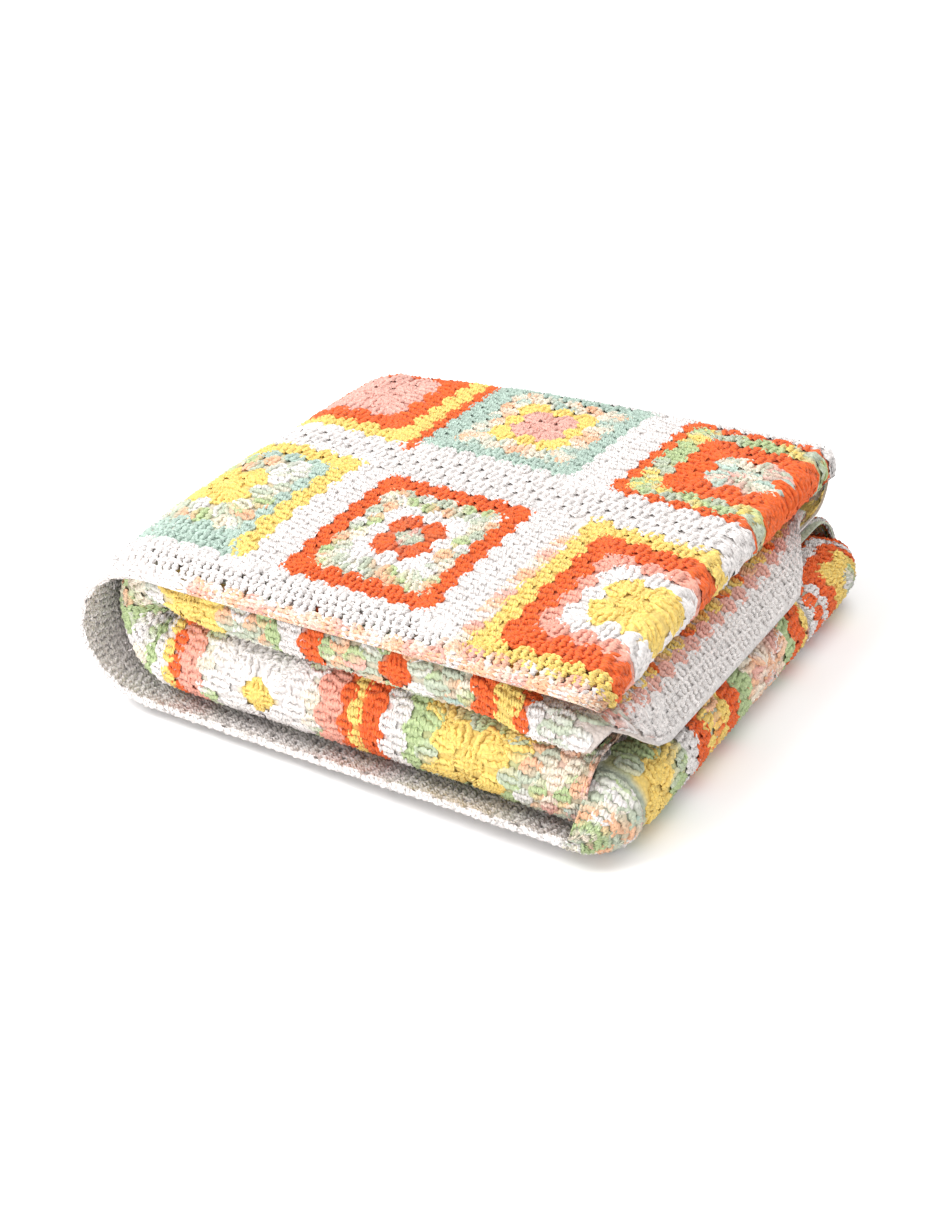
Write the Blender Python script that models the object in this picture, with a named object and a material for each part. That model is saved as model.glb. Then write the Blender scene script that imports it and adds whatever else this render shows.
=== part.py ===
"""Crochet baby blanket, folded into a stack.

One granny-square cloth is folded back and forth from front to back: front edge, top layer, back fold, inner
layer, front fold, upper layer, inner turn and turned-in layer. That band is then folded in half round its left
end, and its right ends are turned in at the top and the bottom. The cloth is modelled as the middle surface of
that folded sheet, and Solidify gives it its thickness.

X runs along the front of the stack, Y from front to back, Z up. The origin is on the surface that the
stack lies on, under its middle. "over" is the half above the half fold and "under" the half below it.
"""

import math
from collections import namedtuple

import bmesh
import bpy

# The cloth
CLOTH_THICK = 0.005
GAP_WIDE = 0.0052  # the largest gaps between crochet clusters
GAP_SHARE = 0.66  # of the cell that a gap is cut in, at most
CLOTH_COLOUR = (0.93, 0.86, 0.78, 1.0)

# The folded stack
SHIFT_X, SHIFT_Y = 0.0004, -0.0142  # bring the stack's middle over the origin
BEND_X = -0.1265  # axis of the half fold
FRONT_Y = -0.150  # front of the two front folds
BACK_Y = 0.129  # axis of the back folds
INNER_BACK_Y = 0.112  # axis of the inner turns at the back
FREE_END_Y = -0.075  # the cloth's last, hidden edge
BACK_REACH = 0.035  # the right end reaches this much further back than the half fold
BACK_BOW = 0.009  # how far the back bows out between them
REACH_FROM_Y, REACH_TO_Y, REACH_TO_X = 0.020, 0.150, 0.150
RECESS = 0.010  # how far the front folds draw back inside the bend
RECESS_FROM_X = -0.088
RECESS_EASE = 40.0  # rows with a wider bend draw back later

# Middle heights of each layer, along its length and at its right end. flap_from is where its right end
# starts to turn or stop, flap how much cloth is left past the turn, and drop how far the upper layer's end
# hangs down at DROP_FROM_X + DROP_LENGTH.
Layer = namedtuple("Layer", "height end_height flap_from flap drop")
LAYERS = {
    "over": {
        "outer": Layer(0.1050, 0.1050, 0.1450, 0.0160, 0.0),
        "upper": Layer(0.0930, 0.0750, 0.1450, 0.0300, 0.0245),
        "third": Layer(0.0800, 0.0673, 0.1450, 0.0040, 0.0),
        "inner": Layer(0.0650, 0.0610, 0.1450, 0.0050, 0.0),
    },
    "under": {
        "outer": Layer(0.0025, 0.0025, 0.1560, 0.0560, 0.0),
        "upper": Layer(0.0110, 0.0110, 0.1350, 0.0160, 0.0),
        "third": Layer(0.0320, 0.0280, 0.1300, 0.0120, 0.0),
        "inner": Layer(0.0585, 0.0545, 0.1450, 0.0070, 0.0),
    },
}
DROP_FROM_X, DROP_LENGTH = 0.145, 0.030
STEP_FROM_X, STEP_TO_X = 0.086, 0.118  # where the layers change to their end heights
FRONT_RISE = 0.0050  # the upper layer's end stands this much higher at the front fold
FRONT_RISE_DEPTH = 0.030
# How far the front folds' right ends round off to the back, at ROUND_LENGTH past the turn.
END_ROUND = {"over": 0.010, "under": 0.030}
ROUND_LENGTH = 0.030
FRONT_FLAP, BACK_FLAP = 0.012, 0.006  # left of the upper layer's flap at the front and the back
BACK_FLAP_FROM, BACK_CORNER_FLAP = 0.8, 0.016  # share of the way back, and what is left of the curls' flaps

# The outer layer's right ends curl in, its front edge wraps round the front folds
CURL_RADIUS = {"over": 0.0115, "under": 0.0210}
CURL_AXIS_Z = {"over": 0.0935, "under": 0.0235}
LEAST_CAP = 0.0035  # the back folds' right ends close like caps down to this radius
CAP_POWER = 1.5  # smaller caps close less
CORNER_CURL = math.radians(108)  # left of the upper curl where the front edge starts to wrap
CORNER_FLAP = 0.001
EDGE_CURL = math.radians(60)  # left of the upper curl at the front edge
EDGE_FLAP = 0.002
EdgeWrap = namedtuple("EdgeWrap", "axis_y axis_z radius angle_left angle_right")
EDGE_WRAP = {
    "over": EdgeWrap(-0.1360, 0.0800, 0.0215, math.radians(60), math.radians(48)),
    "under": EdgeWrap(-0.1313, 0.0348, 0.0318, math.radians(70), math.radians(58)),
}
TOP_DOME = 0.0035  # the top layer's rise between its edges
WAVE = 0.0012  # unevenness of the top

# Grid steps
WRAP_STEPS = 3
OUTER_ROWS = 8
BACK_FOLD_STEPS = 7
FRONT_FOLD_STEPS = 7
TURN_STEPS = 5
INNER_ROWS = 4
UPPER_ROWS = 5
THIRD_ROWS = 2
BEND_STEPS = 12
CURL_STEPS = 6
FLAP_STEPS = 2
CURL_SHARE = 0.58  # share of the turned end's length that the curl's steps cover
TOP_XS = (0.145, 0.130, 0.118, 0.103, 0.086, 0.058, 0.024, -0.012, -0.050, -0.088, -0.108)
LOW_XS = (-0.108, -0.088, -0.046, -0.004, 0.038, 0.078, 0.104, 0.130, 0.156)
SQUEEZE_FROM_X = 0.030  # shorter layers draw their columns together from here on


def smooth(t):
    """Eases from 0 to 1 as t goes from 0 to 1."""
    t = min(max(t, 0.0), 1.0)
    return t * t * (3 - 2 * t)


def mix(a, b, t):
    return a + (b - a) * t


def wave(x, y):
    """A slow, repeatable unevenness between -1 and 1."""
    return 0.5 * math.sin(31 * x + 17 * y + 0.6) + 0.5 * math.sin(19 * x - 26 * y + 2.1)


class OuterLine:
    """One row of the outer layer, in one half: its share of the way back, or of the wrap at its front edge."""

    def __init__(self, side, back, wrap):
        self.side, self.back, self.wrap = side, back, wrap
        self.layer = LAYERS[side]["outer"]
        self.up = 1 if side == "over" else -1
        self.flap_from = self.layer.flap_from
        self.curl, self.flap = math.pi, self.layer.flap
        self.radius = CURL_RADIUS[side]
        if wrap > 0:
            self.curl = mix(CORNER_CURL, EDGE_CURL, wrap) if side == "over" else math.pi
            self.flap = EDGE_FLAP
            if side == "under":
                self.radius = CURL_AXIS_Z[side] - self.at(self.flap_from)[1]
        elif back == 0.0 and side == "over":
            self.curl, self.flap = CORNER_CURL, CORNER_FLAP
        elif back > BACK_FLAP_FROM:
            self.flap = min(self.flap, BACK_CORNER_FLAP)
        self.drop = 0.0
        self.round = 0.0
        self.recess = 0.0

    def tilt(self, x):
        """The angle of the row's outward side from straight up or down, towards the front."""
        edge = EDGE_WRAP[self.side]
        return self.wrap * mix(edge.angle_left, edge.angle_right, smooth((x - BEND_X) / (0.15 - BEND_X)))

    def end_tilt(self):
        """The tilt of the curl at its right end. The lower one stays upright and closes like a cap."""
        return self.tilt(self.flap_from) if self.side == "over" else 0.0

    def at(self, x):
        edge = EDGE_WRAP[self.side]
        turn = self.tilt(x)
        y = mix(edge.axis_y - edge.radius * math.sin(turn), BACK_Y, self.back)
        z = edge.axis_z + self.up * edge.radius * math.cos(turn)
        z = mix(z, self.layer.height, smooth(self.back * 4))
        if self.side == "over":
            z += TOP_DOME * math.sin(math.pi * self.back) ** 0.7 + WAVE * wave(x, y) * (1 - self.wrap)
        return y, z


class PlainLine:
    """One row of an inner layer, in one half, at depth y. end_y is its depth at the right end."""

    def __init__(self, side, name, y, end_y):
        self.layer = LAYERS[side][name]
        self.name, self.side, self.y, self.end_y = name, side, y, end_y
        self.flap_from, self.flap = self.layer.flap_from, self.layer.flap
        if name == "upper":
            self.flap = mix(self.flap, BACK_FLAP, smooth((y - INNER_BACK_Y) / 0.045 + 1))
        if name == "upper" and side == "over":
            self.flap = mix(FRONT_FLAP, self.flap, smooth((y - FRONT_Y) / 0.055))
        self.drop = self.layer.drop * mix(0.6, 1.0, smooth((y - FRONT_Y) / 0.05))
        self.curl = 0.0
        self.radius = CURL_RADIUS[side]
        self.round = END_ROUND[side] * smooth((FRONT_Y + 0.04 - y) / 0.03)
        self.recess = RECESS * smooth((BACK_Y - 0.06 - y) / 0.15) if name in ("upper", "inner") else 0.0

    def end_tilt(self):
        return 0.0

    def end_height(self):
        rise = 0.0
        if self.name == "upper" and self.side == "over":
            rise = FRONT_RISE * (1 - smooth((self.end_y - FRONT_Y) / FRONT_RISE_DEPTH))
        return self.layer.end_height + rise

    def at(self, x):
        step = smooth((x - STEP_FROM_X) / (STEP_TO_X - STEP_FROM_X))
        return mix(self.y, self.end_y, step), mix(self.layer.height, self.end_height(), step)


class FoldLine:
    """One row of a fold between two layers' rows, in one half, at a turn of 0 to pi. reach is its direction,
    -1 for a fold at the front and 1 at the back."""

    def __init__(self, first, last, turn, reach, recess):
        self.first, self.last, self.turn, self.reach = first, last, turn, reach
        self.share = (1 - math.cos(turn)) / 2
        self.flap_from = mix(first.flap_from, last.flap_from, self.share)
        self.flap = mix(first.flap, last.flap, self.share)
        self.drop = mix(first.drop, last.drop, self.share)
        self.curl, self.radius = 0.0, first.radius
        if first.curl > 0:
            self.flap = mix(EDGE_FLAP, last.flap, self.share)
            cap = first.up * (self.at(self.flap_from)[1] - CURL_AXIS_Z[first.side])
            if cap > LEAST_CAP:
                self.curl = math.pi * min(cap / first.radius, 1.0) ** CAP_POWER
                self.radius = cap
        self.round = mix(first.round, last.round, self.share)
        self.recess = recess

    def end_tilt(self):
        return 0.0

    def at(self, x):
        y_first, z_first = self.first.at(x)
        y_last, z_last = self.last.at(x)
        y = mix(y_first, y_last, self.share) + self.reach * abs(z_first - z_last) / 2 * math.sin(self.turn)
        return y, mix(z_first, z_last, self.share)


def fold(first_row, last_row, reach, steps, recess):
    """Rows between two rows of different layers, round a fold."""
    rows = []
    for i in range(1, steps):
        turn = math.pi * i / steps
        rows.append({side: FoldLine(first_row[side], last_row[side], turn, reach, recess) for side in LAYERS})
    return rows


def plain_row(name, ys, end_ys):
    return {side: PlainLine(side, name, ys[side], end_ys[side]) for side in LAYERS}


def layer_rows(name, starts, ends, steps):
    """Rows of one inner layer between two depths; each depth is a pair of dicts, y and end_y by half."""
    rows = []
    for i in range(steps + 1):
        ys, end_ys = ({side: mix(a[side], b[side], i / steps) for side in LAYERS} for a, b in zip(starts, ends))
        rows.append(plain_row(name, ys, end_ys))
    return rows


def both(y):
    """The same depth in both halves, along the layer and at its right end."""
    return {"over": y, "under": y}, {"over": y, "under": y}


def nose_axis():
    """Depth of the front folds' axis, along the layers and at their right ends."""
    main, end = {}, {}
    for side, layers in LAYERS.items():
        rise = FRONT_RISE if side == "over" else 0.0
        main[side] = FRONT_Y + abs(layers["upper"].height - layers["inner"].height) / 2
        end[side] = FRONT_Y + abs(layers["upper"].end_height + rise - layers["inner"].end_height) / 2
    return main, end


def section_rows():
    """The back-and-forth section, row by row, and the name of each row's stretch."""
    edge = [{side: OuterLine(side, 0.0, 1 - i / WRAP_STEPS) for side in LAYERS} for i in range(WRAP_STEPS)]
    outer = [{side: OuterLine(side, i / OUTER_ROWS, 0.0) for side in LAYERS} for i in range(OUTER_ROWS + 1)]
    inner = layer_rows("inner", both(BACK_Y), nose_axis(), INNER_ROWS)
    upper = layer_rows("upper", nose_axis(), both(INNER_BACK_Y), UPPER_ROWS)
    third = layer_rows("third", both(INNER_BACK_Y), both(FREE_END_Y), THIRD_ROWS)
    stretches = (
        ("edge", edge),
        ("outer", outer),
        ("back fold", fold(outer[-1], inner[0], 1, BACK_FOLD_STEPS, 0.0)),
        ("inner", inner),
        ("front fold", fold(inner[-1], upper[0], -1, FRONT_FOLD_STEPS, RECESS)),
        ("upper", upper),
        ("back turn", fold(upper[-1], third[0], 1, TURN_STEPS, 0.0)),
        ("third", third),
    )
    return [(name, row) for name, rows in stretches for row in rows]


def turned_columns(side):
    """Shares of the turned end's length, for its curl and its flap, from its start to the free edge."""
    curl = [CURL_SHARE * i / CURL_STEPS for i in range(1, CURL_STEPS + 1)]
    flap = [mix(CURL_SHARE, 1.0, i / FLAP_STEPS) for i in range(1, FLAP_STEPS + 1)]
    return [(side + " end", share) for share in curl + flap]


def section_columns():
    """Stations along the band: top end, top, bend, bottom, bottom end."""
    columns = list(reversed(turned_columns("over")))
    columns += [("over", x) for x in TOP_XS]
    columns += [("bend", i / BEND_STEPS) for i in range(BEND_STEPS + 1)]
    columns += [("under", x) for x in LOW_XS]
    columns += turned_columns("under")
    return columns


def bend_radius(row):
    """Radius of a row's way round the half fold, before its bulge."""
    return (row["over"].at(BEND_X)[1] - row["under"].at(BEND_X)[1]) / 2


def recess_at(row, path):
    """How far a row has drawn back, by its length of path past RECESS_FROM_X."""
    radius = bend_radius(row)
    whole = RECESS_FROM_X - BEND_X + radius * math.pi / 2
    return row["over"].recess * smooth(path / whole) ** (1 + RECESS_EASE * radius)


def straight_point(row, side, x, last_x):
    """A point of a row's straight part. Rows that stop short draw their columns together."""
    line = row[side]
    if x > SQUEEZE_FROM_X:
        x = mix(SQUEEZE_FROM_X, line.flap_from, (x - SQUEEZE_FROM_X) / (last_x - SQUEEZE_FROM_X))
    y, z = line.at(x)
    return x, y + recess_at(row, max(RECESS_FROM_X - x, 0.0)), z


def end_point(line, share, up):
    """A point of a row's right end: round its curl and along its flap."""
    y, z = line.at(line.flap_from)
    arc = line.radius * line.curl
    length = share * (arc + line.flap)
    turn = min(length, arc) / line.radius
    rest = max(length - arc, 0.0)
    along = line.radius * math.sin(turn) + rest * math.cos(turn)
    inward = line.radius * (1 - math.cos(turn)) + rest * math.sin(turn)
    tilt = line.end_tilt()
    x = line.flap_from + along
    y += inward * math.sin(tilt) + line.round * (max(along, 0.0) / ROUND_LENGTH) ** 2
    z -= up * inward * math.cos(tilt)
    return x, y, z - line.drop * (max(x - DROP_FROM_X, 0.0) / DROP_LENGTH) ** 2


def bend_point(row, share):
    """A point of a row's way round the half fold."""
    turn = math.pi * share
    y_over, z_over = row["over"].at(BEND_X)
    y_under, z_under = row["under"].at(BEND_X)
    bulge = math.sin(turn) ** 2
    path = RECESS_FROM_X - BEND_X + bend_radius(row) * min(turn, math.pi - turn)
    radius = bend_radius(row)
    if isinstance(row["over"], OuterLine):
        layers = LAYERS["over"]["outer"], LAYERS["under"]["outer"]
        radius += ((layers[0].height - layers[1].height) / 2 - radius) * bulge
    y = mix(y_over, y_under, (1 - math.cos(turn)) / 2) + recess_at(row, path)
    return BEND_X - radius * math.sin(turn), y, (z_over + z_under) / 2 + radius * math.cos(turn)


def reach_back(x, y):
    """The depth of a point, drawn out to the back by its place along the stack."""
    along = min(max((x - BEND_X) / (REACH_TO_X - BEND_X), 0.0), 1.0)
    reach = BACK_REACH * along + BACK_BOW * math.sin(math.pi * along)
    return y + reach * smooth((y - REACH_FROM_Y) / (REACH_TO_Y - REACH_FROM_Y))


def cloth_point(row, column):
    """The middle surface's point at one row and one column of the folded sheet."""
    place, value = column
    if place == "bend":
        point = bend_point(row, value)
    elif place == "over":
        point = straight_point(row, "over", value, TOP_XS[0])
    elif place == "under":
        point = straight_point(row, "under", value, LOW_XS[-1])
    elif place == "over end":
        point = end_point(row["over"], value, 1)
    else:
        point = end_point(row["under"], value, -1)
    return point[0] + SHIFT_X, reach_back(point[0], point[1]) + SHIFT_Y, point[2]


def gap_cells(names, column_count):
    """The cells of the grid, by row and column, that hold one gap each."""
    turned = CURL_STEPS + FLAP_STEPS
    top = range(turned + 4, turned + len(TOP_XS) - 1)
    low = range(column_count - turned - len(LOW_XS), column_count - turned - 1)
    edge = [i for i, name in enumerate(names) if name == "edge"][:-1]
    front = [i for i, name in enumerate(names) if name == "front fold"][1:-1]
    cells = {(row, column) for row in edge for column in range(turned, column_count - turned - 1)}
    cells |= {(row, column) for row in front[::2] for column in [*top, *low]}
    return cells


def cut_gaps(bm, faces):
    """Cuts a four-sided gap in the middle of each face."""
    bmesh.ops.inset_individual(bm, faces=faces, thickness=0.0)
    for face in faces:
        centre = face.calc_center_median()
        corners = [vert.co - centre for vert in face.verts]
        along = (corners[0] + corners[1] - corners[2] - corners[3]) / 4
        across = (corners[1] + corners[2] - corners[3] - corners[0]) / 4
        along *= min(GAP_WIDE / 2 / along.length, GAP_SHARE)
        across *= min(GAP_WIDE / 2 / across.length, GAP_SHARE)
        for vert, (a, b) in zip(face.verts, ((1, -1), (1, 1), (-1, 1), (-1, -1))):
            vert.co = centre + along * a + across * b
    bmesh.ops.delete(bm, geom=faces, context="FACES_ONLY")


def build_blanket():
    stretches = section_rows()
    names = [name for name, row in stretches]
    columns = section_columns()
    row_steps, column_steps = len(stretches) - 1, len(columns) - 1
    bm = bmesh.new()
    bmesh.ops.create_grid(bm, x_segments=column_steps, y_segments=row_steps, size=0.5)
    cells = gap_cells(names, len(columns))
    holed = []
    for face in bm.faces:
        middle = face.calc_center_median()
        if (int((middle.y + 0.5) * row_steps), int((middle.x + 0.5) * column_steps)) in cells:
            holed.append(face)
    for vert in bm.verts:
        row = stretches[round((vert.co.y + 0.5) * row_steps)][1]
        vert.co = cloth_point(row, columns[round((vert.co.x + 0.5) * column_steps)])
    cut_gaps(bm, holed)
    mesh = bpy.data.meshes.new("blanket")
    bm.to_mesh(mesh)
    bm.free()
    blanket = bpy.data.objects.new("blanket", mesh)
    bpy.context.scene.collection.objects.link(blanket)
    thicken = blanket.modifiers.new("thickness", "SOLIDIFY")
    thicken.thickness = CLOTH_THICK
    thicken.offset = 0.0
    cloth = bpy.data.materials.new("cotton_yarn")
    cloth.use_nodes = True
    shader = cloth.node_tree.nodes["Principled BSDF"]
    shader.inputs["Base Color"].default_value = CLOTH_COLOUR
    shader.inputs["Roughness"].default_value = 0.9
    mesh.materials.append(cloth)


for old in list(bpy.data.objects):
    bpy.data.objects.remove(old)
build_blanket()
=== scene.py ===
"""Crochet baby blanket, folded: its cloth and its stitches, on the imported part.

Every length is in metres, in the part's own frame. The cloth is a thin sheet on the part's folds. The
stitches are clusters of three tall stitches, laid out flat as granny squares and border rows and then carried
onto the folds. On the flat cloth, s runs along the band from its half fold, plus on the upper half and minus
on the lower one, and v runs along the back-and-forth section, from front to back on the outer layer.
"""

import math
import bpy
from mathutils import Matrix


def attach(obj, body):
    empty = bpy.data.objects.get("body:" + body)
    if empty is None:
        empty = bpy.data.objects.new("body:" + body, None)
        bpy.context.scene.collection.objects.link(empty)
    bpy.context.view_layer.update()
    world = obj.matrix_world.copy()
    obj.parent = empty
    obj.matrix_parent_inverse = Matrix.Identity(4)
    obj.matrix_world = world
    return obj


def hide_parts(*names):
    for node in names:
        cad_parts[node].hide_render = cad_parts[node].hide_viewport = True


bl_info = {
    "name": "Crochet baby blanket",
    "version": (1, 0, 0),
    "blender": (4, 5, 0),
    "location": "View3D > Sidebar > Blanket",
    "description": "A folded blanket of crochet granny squares",
    "category": "Object",
}

from collections import namedtuple

import bmesh
import bpy
import numpy as np
from mathutils import Vector

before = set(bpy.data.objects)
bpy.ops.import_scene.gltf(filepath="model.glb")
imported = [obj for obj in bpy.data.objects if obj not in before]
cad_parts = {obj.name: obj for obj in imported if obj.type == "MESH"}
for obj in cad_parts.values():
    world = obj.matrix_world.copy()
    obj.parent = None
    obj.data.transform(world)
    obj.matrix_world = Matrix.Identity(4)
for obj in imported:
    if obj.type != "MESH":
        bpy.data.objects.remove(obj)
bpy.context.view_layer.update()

# The folded stack, in the part's own sizes. Only the lower lip lies flatter here, and closes at its corner.
SHIFT_X, SHIFT_Y = 0.0004, -0.0142
BEND_X = -0.1265  # axis of the half fold
FRONT_Y = -0.150  # front of the two front folds
BACK_Y = 0.129  # axis of the back folds
INNER_BACK_Y = 0.112
FREE_END_Y = -0.075
BACK_REACH, BACK_BOW = 0.035, 0.009  # how much further back the right end and the middle reach
REACH_FROM_Y, REACH_TO_Y, REACH_TO_X = 0.020, 0.150, 0.150
RECESS = 0.010  # how far the front folds draw back inside the bend
RECESS_FROM_X = -0.088
RECESS_EASE = 40.0
Layer = namedtuple("Layer", "height end_height flap_from flap drop")
LAYERS = {
    "over": {
        "outer": Layer(0.1050, 0.1050, 0.1450, 0.0160, 0.0),
        "upper": Layer(0.0930, 0.0750, 0.1450, 0.0300, 0.0245),
        "third": Layer(0.0800, 0.0673, 0.1450, 0.0040, 0.0),
        "inner": Layer(0.0650, 0.0610, 0.1450, 0.0050, 0.0),
    },
    "under": {
        "outer": Layer(0.0025, 0.0025, 0.1560, 0.0560, 0.0),
        "upper": Layer(0.0110, 0.0110, 0.1350, 0.0160, 0.0),
        "third": Layer(0.0320, 0.0280, 0.1300, 0.0120, 0.0),
        "inner": Layer(0.0585, 0.0545, 0.1450, 0.0070, 0.0),
    },
}
DROP_FROM_X, DROP_LENGTH = 0.145, 0.030
STEP_FROM_X, STEP_TO_X = 0.086, 0.118
FRONT_RISE = 0.0050
FRONT_RISE_DEPTH = 0.030
END_ROUND = {"over": 0.010, "under": 0.030}
ROUND_LENGTH = 0.030
FRONT_FLAP, BACK_FLAP = 0.012, 0.006
BACK_FLAP_FROM, BACK_CORNER_FLAP = 0.8, 0.016
CURL_RADIUS = {"over": 0.0115, "under": 0.0210}
CURL_AXIS_Z = {"over": 0.0935, "under": 0.0235}
LEAST_CAP = 0.0035
CAP_POWER = 1.5
CORNER_CURL = math.radians(108)
CORNER_FLAP = 0.001
EDGE_CURL = math.radians(60)
EDGE_FLAP = 0.002
CAP_CLOSE, CAP_FLAP = 0.85, 0.007  # how far the low corner closes at its front, and its flap there
EdgeWrap = namedtuple("EdgeWrap", "axis_y axis_z radius angle_left angle_right")
EDGE_WRAP = {
    "over": EdgeWrap(-0.1360, 0.0800, 0.0215, math.radians(60), math.radians(48)),
    "under": EdgeWrap(-0.1313, 0.0525, 0.0500, math.radians(31), math.radians(42)),
}
TOP_DOME = 0.0035
WAVE = 0.0012
TOP_END_X, LOW_END_X, TOP_LEFT_X, LOW_LEFT_X = 0.145, 0.156, -0.108, -0.108
SQUEEZE_FROM_X = 0.030
CURL_SHARE = 0.58

# Steps of the fine grid that the stitches are carried by
WRAP_STEPS = 10
OUTER_ROWS = 48
BACK_FOLD_STEPS = 16
INNER_ROWS = 12
FRONT_FOLD_STEPS = 20
UPPER_ROWS = 24
TURN_STEPS = 8
THIRD_ROWS = 3
STRAIGHT_STEPS = 44
BEND_STEPS = 36
CURL_STEPS = 16
FLAP_STEPS = 5
CLOSED_STEPS = 3  # before the low curl, from where on the front border has the sheet behind it
FLAT_STEP = 0.002  # spacing of the same surface laid out flat

# The crochet
ROUND = 0.00857  # depth of one row of clusters
ROUND_ENDS = (0.0, 0.0102, 0.0210, 0.0315, 0.0402, 0.0478, 0.0550, 0.0620, 0.0686)  # from a square's middle
ROUNDS = 8  # in a square, with its light joining round
PITCH = 0.01607  # of the clusters in straight rows
SQUARE_PITCH_S = 2 * ROUND_ENDS[-1]
SQUARE_PITCH_V = 0.157
FIRST_SQUARE_V = 0.077  # middle of the first row of squares
EDGE_WIDTH = 0.027  # cloth in front of the top's front edge
EDGE_BRAID = 0.0115  # width of the stitches that run along the edge
BORDER_TO_V = 0.009  # end of the plain border's rows
LOW_END_S = -0.352  # where the lower layer's turned right end starts
LOW_FIELD_S = -0.362  # where its own squares start
BACK_FROM_V = 0.27  # start of the back fold
UNDERSIDE_TO_S, TOP_FROM_S = -0.070, 0.060  # ends of the round end
EDGE_MARGIN = 0.3  # of half a cluster's height, which its middle keeps from the cloth's edge
MOST_S, MOST_V = 0.5, 0.4  # past the last of the cloth


def linear(red, green, blue):
    """A display colour, 0 to 255, as the linear values that shaders take."""
    values = (red / 255, green / 255, blue / 255)
    return tuple(v / 12.92 if v <= 0.04045 else ((v + 0.055) / 1.055) ** 2.4 for v in values)


def smooth(t):
    """Eases from 0 to 1 as t goes from 0 to 1."""
    t = min(max(t, 0.0), 1.0)
    return t * t * (3 - 2 * t)


def mix(a, b, t):
    return a + (b - a) * t


def wave(x, y):
    """A slow, repeatable unevenness between -1 and 1."""
    return 0.5 * math.sin(31 * x + 17 * y + 0.6) + 0.5 * math.sin(19 * x - 26 * y + 2.1)


# The folds


class OuterLine:
    """One row of the outer layer, in one half, at a share of the way back or of the wrap at its front."""

    def __init__(self, side, back, wrap):
        self.side, self.back, self.wrap = side, back, wrap
        self.layer = LAYERS[side]["outer"]
        self.up = 1 if side == "over" else -1
        self.flap_from = self.layer.flap_from
        self.curl, self.flap = math.pi, self.layer.flap
        self.radius = CURL_RADIUS[side]
        if wrap > 0:
            self.curl = mix(CORNER_CURL, EDGE_CURL, wrap) if side == "over" else math.pi
            self.flap = EDGE_FLAP
            if side == "under":
                self.radius = (CURL_AXIS_Z[side] - self.at(self.flap_from)[1]) * (1 - CAP_CLOSE * wrap * wrap)
                self.flap = CAP_FLAP
        elif side == "over":
            near_front = 1 - smooth(back / 0.12)
            self.curl = mix(math.pi, CORNER_CURL, near_front)
            self.flap = mix(self.layer.flap, CORNER_FLAP, near_front)
        if back > BACK_FLAP_FROM:
            self.flap = min(self.flap, BACK_CORNER_FLAP)
        self.drop = 0.0
        self.round = 0.0
        self.recess = 0.0

    def tilt(self, x):
        """The angle of the row's outward side from straight up or down, towards the front."""
        edge = EDGE_WRAP[self.side]
        return self.wrap * mix(edge.angle_left, edge.angle_right, smooth((x - BEND_X) / (0.15 - BEND_X)))

    def end_tilt(self):
        """The tilt of the curl at its right end. The lower one stays upright and closes like a cap."""
        return self.tilt(self.flap_from) if self.side == "over" else 0.0

    def at(self, x):
        edge = EDGE_WRAP[self.side]
        turn = self.tilt(x)
        y = mix(edge.axis_y - edge.radius * math.sin(turn), BACK_Y, self.back)
        z = edge.axis_z + self.up * edge.radius * math.cos(turn)
        z = mix(z, self.layer.height, smooth(self.back * 4))
        if self.side == "over":
            z += TOP_DOME * math.sin(math.pi * self.back) ** 0.7 + WAVE * wave(x, y) * (1 - self.wrap)
        return y, z


class PlainLine:
    """One row of an inner layer, in one half, at depth y. end_y is its depth at the right end."""

    def __init__(self, side, name, y, end_y):
        self.layer = LAYERS[side][name]
        self.name, self.side, self.y, self.end_y = name, side, y, end_y
        self.flap_from, self.flap = self.layer.flap_from, self.layer.flap
        if name == "upper":
            self.flap = mix(self.flap, BACK_FLAP, smooth((y - INNER_BACK_Y) / 0.045 + 1))
        if name == "upper" and side == "over":
            self.flap = mix(FRONT_FLAP, self.flap, smooth((y - FRONT_Y) / 0.055))
        self.drop = self.layer.drop * mix(0.6, 1.0, smooth((y - FRONT_Y) / 0.05))
        self.curl = 0.0
        self.radius = CURL_RADIUS[side]
        self.round = END_ROUND[side] * smooth((FRONT_Y + 0.04 - y) / 0.03)
        self.recess = RECESS * smooth((BACK_Y - 0.06 - y) / 0.15) if name in ("upper", "inner") else 0.0

    def end_tilt(self):
        return 0.0

    def end_height(self):
        rise = 0.0
        if self.name == "upper" and self.side == "over":
            rise = FRONT_RISE * (1 - smooth((self.end_y - FRONT_Y) / FRONT_RISE_DEPTH))
        return self.layer.end_height + rise

    def at(self, x):
        step = smooth((x - STEP_FROM_X) / (STEP_TO_X - STEP_FROM_X))
        return mix(self.y, self.end_y, step), mix(self.layer.height, self.end_height(), step)


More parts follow.
